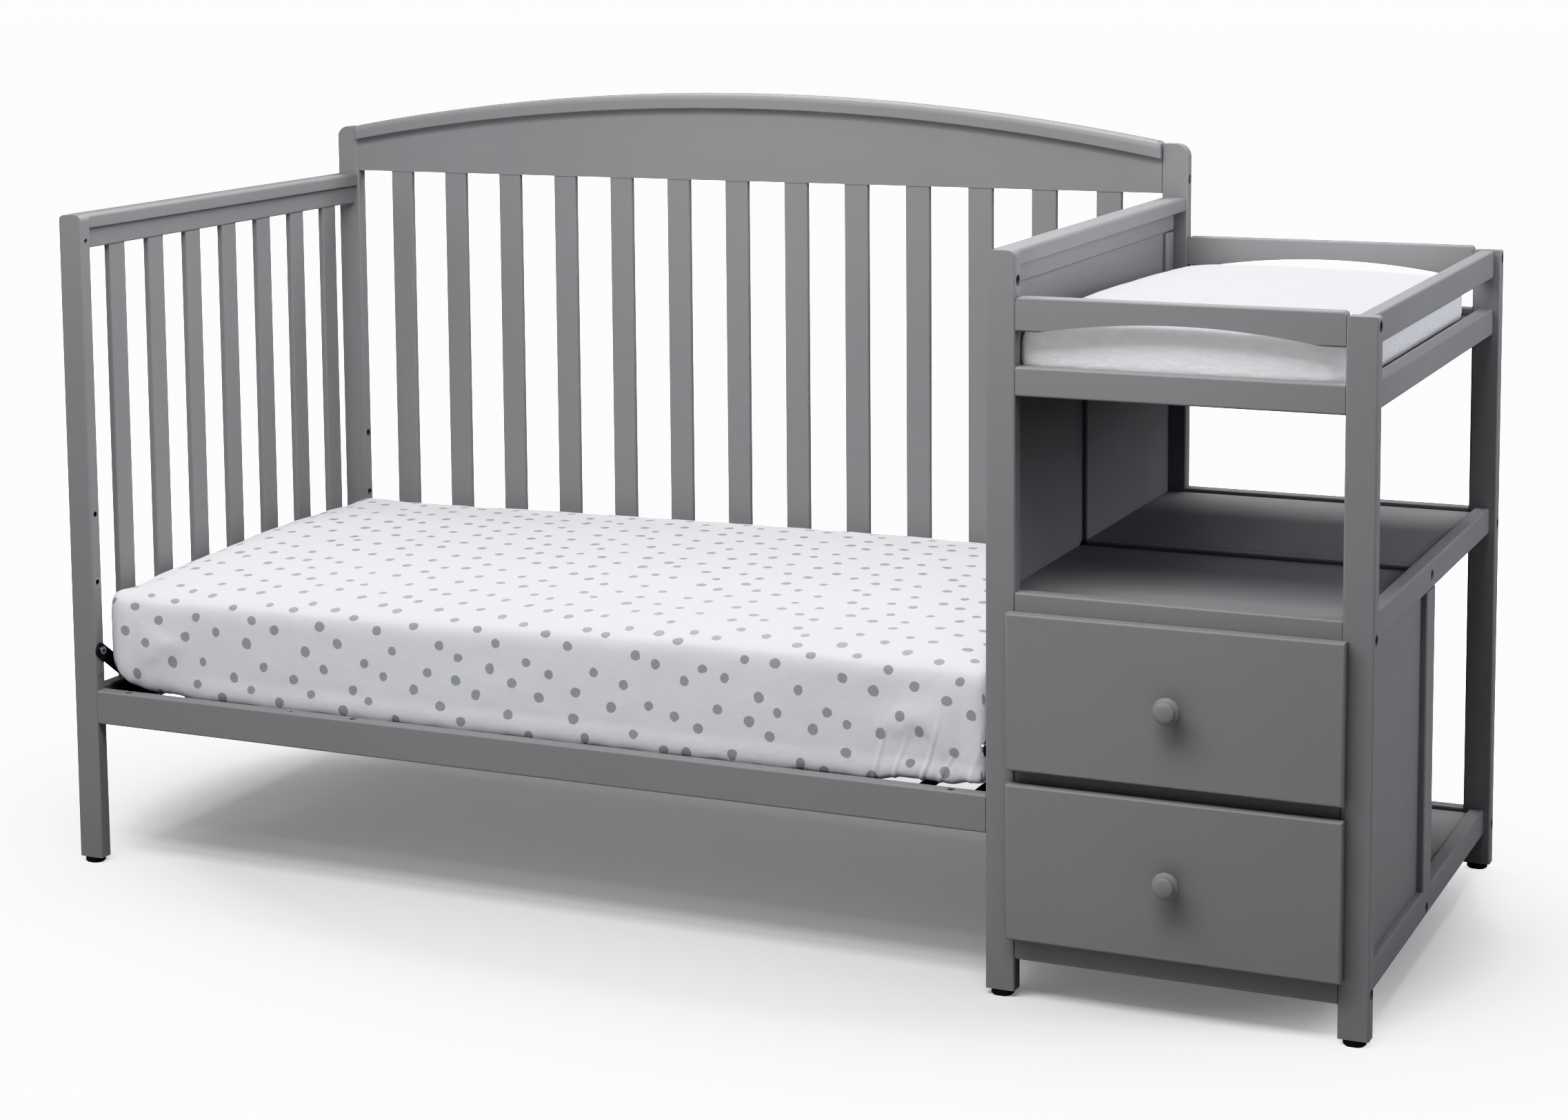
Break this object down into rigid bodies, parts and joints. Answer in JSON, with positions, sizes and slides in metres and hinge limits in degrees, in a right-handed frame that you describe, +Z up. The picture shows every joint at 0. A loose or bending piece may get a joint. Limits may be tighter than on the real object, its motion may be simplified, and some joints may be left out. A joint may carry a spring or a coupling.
{
  "type": "crib with attached changer",
  "caption": "Convertible crib in its day bed form, with an arched slatted back, a dotted mattress and a changing table with open shelves and drawers joined to one end.",
  "frame": {"origin": "on the floor, under the middle of the bounding box", "axes": "+X along the crib towards the changer, +Y from the open front to the arched back, +Z up"},
  "size_m": [1.844, 0.8076, 1.065],
  "materials": {
    "grey_paint": "satin grey paint on wood",
    "raw_wood": "bare softwood",
    "hardboard": "bare hardboard",
    "zinc_steel": "zinc plated",
    "black_steel": "black powder coat",
    "black_plastic": "matte",
    "dotted_sheet": "white cotton with grey dots",
    "velour": "white velour"
  },
  "bodies": {
    "frame": {"left_front_post": "grey_paint", "left_back_post": "grey_paint", "left_cap_rail": "grey_paint", "left_top_rail": "grey_paint", "left_slats": "grey_paint", "left_bottom_rail": "grey_paint", "right_back_post": "grey_paint", "back_arch_cap": "grey_paint", "back_top_rail": "grey_paint", "back_slats": "grey_paint", "back_bottom_rail": "grey_paint", "front_low_rail": "grey_paint", "support_deck": "black_steel", "hanger_straps": "black_steel", "mattress": "dotted_sheet", "partition_front_post": "grey_paint", "partition_cap_rail": "grey_paint", "partition_top_rail": "grey_paint", "partition_upper_panel": "grey_paint", "partition_stile": "grey_paint", "partition_mid_rail": "grey_paint", "partition_lower_panel": "grey_paint", "partition_rear_board": "grey_paint", "changer_front_post": "grey_paint", "changer_back_post": "grey_paint", "front_guard": "grey_paint", "back_guard": "grey_paint", "side_guard": "grey_paint", "front_apron": "grey_paint", "back_apron": "grey_paint", "side_apron": "grey_paint", "changing_board": "grey_paint", "changing_pad": "velour", "shelf_front_rail": "grey_paint", "shelf_side_rail": "grey_paint", "shelf_back_rail": "grey_paint", "cross_rails": "grey_paint", "shelf_boards": "grey_paint", "drawer_divider_rail": "grey_paint", "base_front_rail": "grey_paint", "base_side_rail": "grey_paint", "base_back_rail": "grey_paint", "base_board": "grey_paint", "side_panel": "grey_paint", "side_stile": "grey_paint", "carcass_back_panel": "grey_paint", "support_cleats": "raw_wood", "slide_channels": "zinc_steel", "frame_bolts": "zinc_steel", "floor_glides": "black_plastic"},
    "upper_drawer": {"upper_drawer_front": "grey_paint", "upper_drawer_box": "raw_wood", "upper_drawer_bottom": "hardboard", "upper_drawer_knob": "grey_paint", "upper_drawer_hardware": "zinc_steel"},
    "lower_drawer": {"lower_drawer_front": "grey_paint", "lower_drawer_box": "raw_wood", "lower_drawer_bottom": "hardboard", "lower_drawer_knob": "grey_paint", "lower_drawer_hardware": "zinc_steel"}
  },
  "joints": [
    {"name": "upper_drawer_slide", "type": "slide", "parent": "frame", "child": "upper_drawer", "axis": [0, -1, 0], "range_m": [0, 0.25]},
    {"name": "lower_drawer_slide", "type": "slide", "parent": "frame", "child": "lower_drawer", "axis": [0, -1, 0], "range_m": [0, 0.25]}
  ]
}
